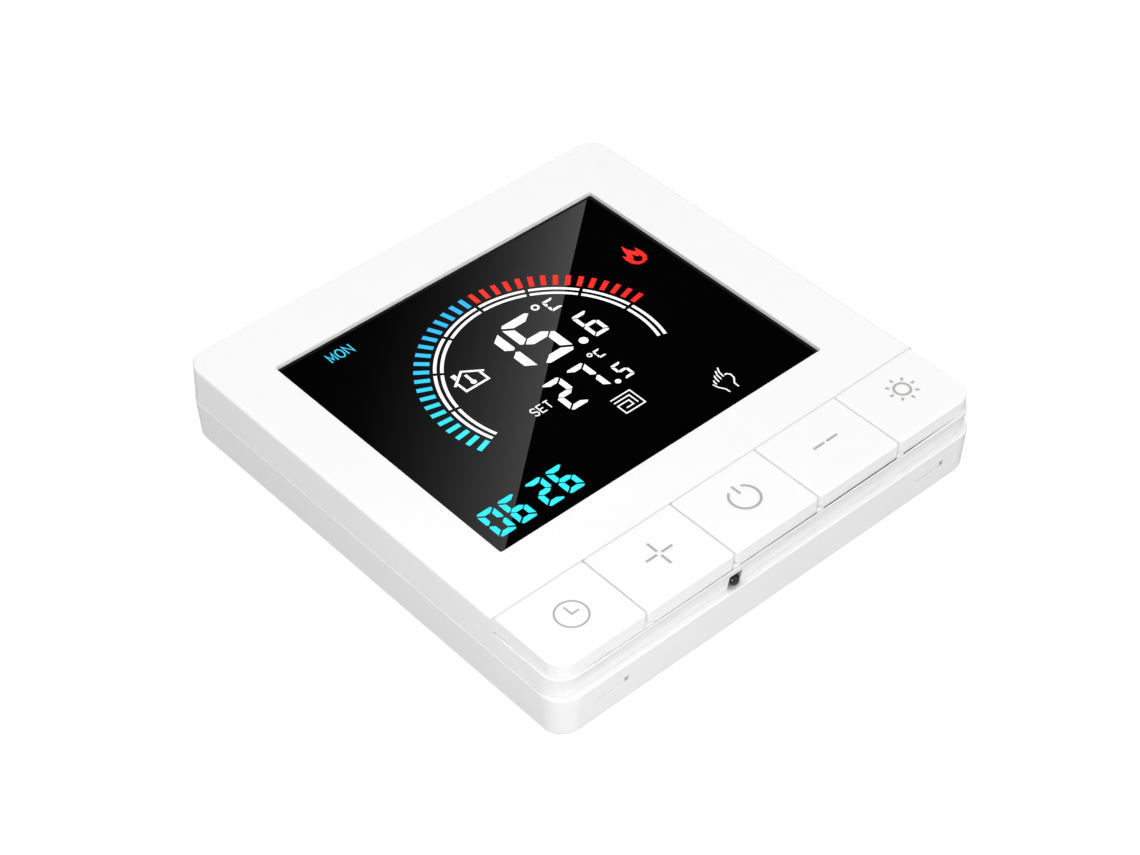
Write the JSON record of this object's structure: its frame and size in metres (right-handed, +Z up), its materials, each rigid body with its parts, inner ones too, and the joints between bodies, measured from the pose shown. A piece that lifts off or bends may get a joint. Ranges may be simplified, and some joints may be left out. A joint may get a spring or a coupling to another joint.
{
  "type": "wall thermostat",
  "caption": "Square wall thermostat with a dark glass display window, a row of rocking keys along its lower edge, a sensor bead below and a housing that sits in the wall box.",
  "frame": {"origin": "middle of the plane where the back of the base meets the wall, on the line through the middle of the face", "axes": "+Y into the wall, +Z up, +X to the right as seen from the room; the display faces -Y"},
  "size_m": [0.086, 0.0396, 0.088],
  "materials": {
    "shell_white": "fine satin-gloss moulded ABS",
    "key_white": "fine satin-gloss moulded ABS with printed grey symbols",
    "window_glass": "clear cover glass over a black display",
    "lcd_glass": "dark liquid crystal cell with coloured segments",
    "acrylic": "clear acrylic light guide",
    "led_white": "white solder resist",
    "natural_plastic": "natural unpainted plastic",
    "black_rubber": "matt",
    "circuit_board": "green solder resist",
    "bright_can": "brushed shield can",
    "steel": "zinc plated",
    "black_epoxy": "glossy dipped epoxy",
    "black_plastic": "moulded black",
    "relay_blue": "moulded blue",
    "tape_yellow": "yellow tape and casings",
    "disc_blue": "dipped blue epoxy",
    "copper_wire": "enamelled copper winding",
    "terminal_green": "moulded green"
  },
  "bodies": {
    "housing": {"front_shell": "shell_white", "window_lens": "window_glass", "lcd_cell": "lcd_glass", "light_guide": "acrylic", "backlight_led_strip": "led_white", "lcd_tray": "natural_plastic", "zebra_connector": "black_rubber", "keypad_carrier": "natural_plastic", "switch_clock": "black_plastic", "switch_plus": "black_plastic", "switch_power": "black_plastic", "switch_minus": "black_plastic", "switch_light": "black_plastic", "control_pcb": "circuit_board", "mcu_chip": "black_plastic", "wifi_module": "bright_can", "buzzer": "black_plastic", "control_socket": "black_plastic", "cell_holder": "black_plastic", "backup_cell": "steel", "ntc_probe": "black_epoxy", "board_screw_1": "steel", "board_screw_2": "steel", "board_screw_3": "steel", "board_screw_4": "steel", "rear_base": "shell_white", "rear_housing": "shell_white", "power_pcb": "circuit_board", "power_header": "black_plastic", "relay": "relay_blue", "safety_capacitor": "tape_yellow", "bulk_capacitor": "black_plastic", "fuse": "black_plastic", "bridge_rectifier": "black_plastic", "varistor": "disc_blue", "transformer": "tape_yellow", "filter_inductor": "copper_wire", "terminal_block": "terminal_green", "terminal_screw_1": "steel", "terminal_screw_2": "steel", "terminal_screw_3": "steel", "terminal_screw_4": "steel", "terminal_screw_5": "steel", "terminal_screw_6": "steel", "housing_screw_1": "steel", "housing_screw_2": "steel", "housing_screw_3": "steel", "housing_screw_4": "steel"},
    "clock_key": {"key_clock": "key_white"},
    "clock_plunger": {"plunger_clock": "natural_plastic"},
    "plus_key": {"key_plus": "key_white"},
    "plus_plunger": {"plunger_plus": "natural_plastic"},
    "power_key": {"key_power": "key_white"},
    "power_plunger": {"plunger_power": "natural_plastic"},
    "minus_key": {"key_minus": "key_white"},
    "minus_plunger": {"plunger_minus": "natural_plastic"},
    "light_key": {"key_light": "key_white"},
    "light_plunger": {"plunger_light": "natural_plastic"}
  },
  "joints": [
    {"name": "clock_key_press", "type": "hinge", "parent": "housing", "child": "clock_key", "pos_m": [-0.03416, -0.0118, -0.02825], "axis": [1, 0, 0], "range_deg": [0, 1.2], "stiffness_Nm_per_rad": 0.6},
    {"name": "clock_plunger_slide", "type": "slide", "parent": "housing", "child": "clock_plunger", "axis": [0, 1, 0], "range_m": [0, 0.0002]},
    {"name": "plus_key_press", "type": "hinge", "parent": "housing", "child": "plus_key", "pos_m": [-0.01708, -0.0118, -0.02825], "axis": [1, 0, 0], "range_deg": [0, 1.2], "stiffness_Nm_per_rad": 0.6},
    {"name": "plus_plunger_slide", "type": "slide", "parent": "housing", "child": "plus_plunger", "axis": [0, 1, 0], "range_m": [0, 0.0002]},
    {"name": "power_key_press", "type": "hinge", "parent": "housing", "child": "power_key", "pos_m": [0, -0.0118, -0.02825], "axis": [1, 0, 0], "range_deg": [0, 1.2], "stiffness_Nm_per_rad": 0.6},
    {"name": "power_plunger_slide", "type": "slide", "parent": "housing", "child": "power_plunger", "axis": [0, 1, 0], "range_m": [0, 0.0002]},
    {"name": "minus_key_press", "type": "hinge", "parent": "housing", "child": "minus_key", "pos_m": [0.01708, -0.0118, -0.02825], "axis": [1, 0, 0], "range_deg": [0, 1.2], "stiffness_Nm_per_rad": 0.6},
    {"name": "minus_plunger_slide", "type": "slide", "parent": "housing", "child": "minus_plunger", "axis": [0, 1, 0], "range_m": [0, 0.0002]},
    {"name": "light_key_press", "type": "hinge", "parent": "housing", "child": "light_key", "pos_m": [0.03416, -0.0118, -0.02825], "axis": [1, 0, 0], "range_deg": [0, 1.2], "stiffness_Nm_per_rad": 0.6},
    {"name": "light_plunger_slide", "type": "slide", "parent": "housing", "child": "light_plunger", "axis": [0, 1, 0], "range_m": [0, 0.0002]}
  ],
  "couplings": [
    {"joint": "clock_plunger_slide", "follows": "clock_key_press", "m_per_rad": 0.00875},
    {"joint": "plus_plunger_slide", "follows": "plus_key_press", "m_per_rad": 0.00875},
    {"joint": "power_plunger_slide", "follows": "power_key_press", "m_per_rad": 0.00875},
    {"joint": "minus_plunger_slide", "follows": "minus_key_press", "m_per_rad": 0.00875},
    {"joint": "light_plunger_slide", "follows": "light_key_press", "m_per_rad": 0.00875}
  ]
}
